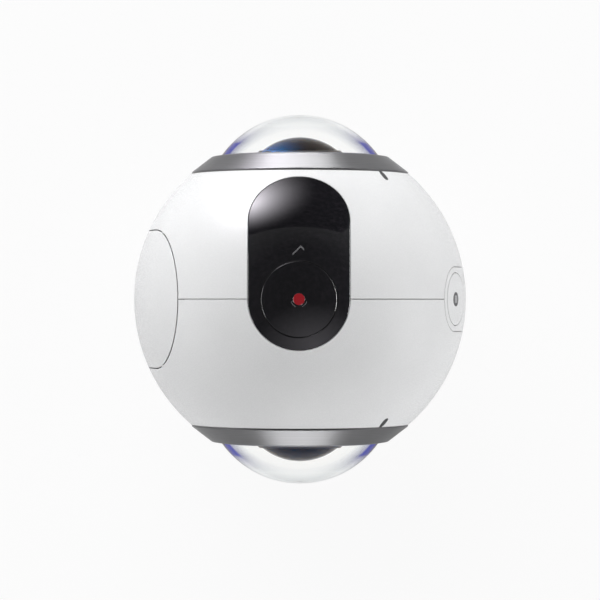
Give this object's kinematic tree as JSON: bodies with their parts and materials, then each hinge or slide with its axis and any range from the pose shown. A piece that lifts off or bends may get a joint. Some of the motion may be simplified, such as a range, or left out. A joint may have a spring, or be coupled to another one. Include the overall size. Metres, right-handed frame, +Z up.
{
  "type": "360 degree camera",
  "caption": "Palm-sized ball camera with a domed fisheye lens on each side, a flat foot with a tripod thread, a top window with record button, side keys and a battery door.",
  "frame": {"origin": "middle of the flat foot, on the surface that the camera stands on, under the ball centre", "axes": "+Z up through the record button, +Y along the rear lens axis, -Y along the front lens axis, +X towards the side keys, -X towards the battery door"},
  "size_m": [0.06, 0.0668, 0.0563],
  "materials": {
    "casing_white": "satin gloss moulded white",
    "ring_metal": "satin turned",
    "dome_glass": "polished, coated",
    "lens_glass": "polished, coated",
    "barrel_black": "matte black",
    "window_black": "high gloss black",
    "dot_red": "translucent red",
    "frame_grey": "fine moulded grain",
    "base_grey": "satin light grey",
    "rubber_grey": "matte rubber",
    "rubber_black": "matte rubber",
    "steel": "plain bright",
    "battery_black": "wrapped cell",
    "contact_gold": "gold plated",
    "board_green": "solder resist",
    "chip_black": "moulded resin",
    "display_black": "display glass"
  },
  "bodies": {
    "casing": {"antenna": "contact_gold", "base_plate": "base_grey", "battery": "battery_black", "battery_contacts": "contact_gold", "board_shield": "steel", "card_board": "board_green", "card_socket": "steel", "casing_screws": "steel", "display_module": "display_black", "foot_ring": "rubber_grey", "front_casing": "casing_white", "front_dome": "dome_glass", "front_dome_gasket": "rubber_black", "front_image_sensor": "chip_black", "front_infrared_filter": "lens_glass", "front_lens_barrel": "barrel_black", "front_lens_retainer": "barrel_black", "front_lens_ring": "ring_metal", "front_mic_mesh": "steel", "front_microphone": "steel", "front_relay_lens": "lens_glass", "front_second_lens": "lens_glass", "front_sensor_board": "board_green", "front_third_lens": "lens_glass", "hinge_pin": "steel", "main_board": "board_green", "mid_frame": "frame_grey", "processor": "chip_black", "rear_casing": "casing_white", "rear_dome": "dome_glass", "rear_dome_gasket": "rubber_black", "rear_image_sensor": "chip_black", "rear_infrared_filter": "lens_glass", "rear_lens_barrel": "barrel_black", "rear_lens_retainer": "barrel_black", "rear_lens_ring": "ring_metal", "rear_mic_mesh": "steel", "rear_microphone": "steel", "rear_relay_lens": "lens_glass", "rear_second_lens": "lens_glass", "rear_sensor_board": "board_green", "rear_third_lens": "lens_glass", "record_switch": "chip_black", "side_key_board": "board_green", "side_key_panel": "casing_white", "side_switches": "chip_black", "top_bracket": "frame_grey", "top_window": "window_black", "tripod_insert": "steel", "usb_socket": "steel"},
    "record_cap": {"record_button": "window_black", "record_dot": "dot_red"},
    "menu_cap": {"menu_key": "casing_white"},
    "power_cap": {"power_key": "casing_white"},
    "door": {"battery_door": "casing_white", "door_seal": "rubber_grey", "door_arm": "frame_grey"}
  },
  "joints": [
    {"name": "record_press", "type": "slide", "parent": "casing", "child": "record_cap", "axis": [0, 0, -1], "range_m": [0, 0.00035], "stiffness_N_per_m": 300, "springref_m": -0.001},
    {"name": "menu_press", "type": "slide", "parent": "casing", "child": "menu_cap", "axis": [-0.9336, 0, -0.3584], "range_m": [0, 0.00035], "stiffness_N_per_m": 300, "springref_m": -0.001},
    {"name": "power_press", "type": "slide", "parent": "casing", "child": "power_cap", "axis": [-0.9336, 0, 0.3584], "range_m": [0, 0.00035], "stiffness_N_per_m": 300, "springref_m": -0.001},
    {"name": "door_swing", "type": "hinge", "parent": "casing", "child": "door", "pos_m": [-0.01454, 0, 0.04799], "axis": [0, 1, 0], "range_deg": [0, 90]}
  ]
}
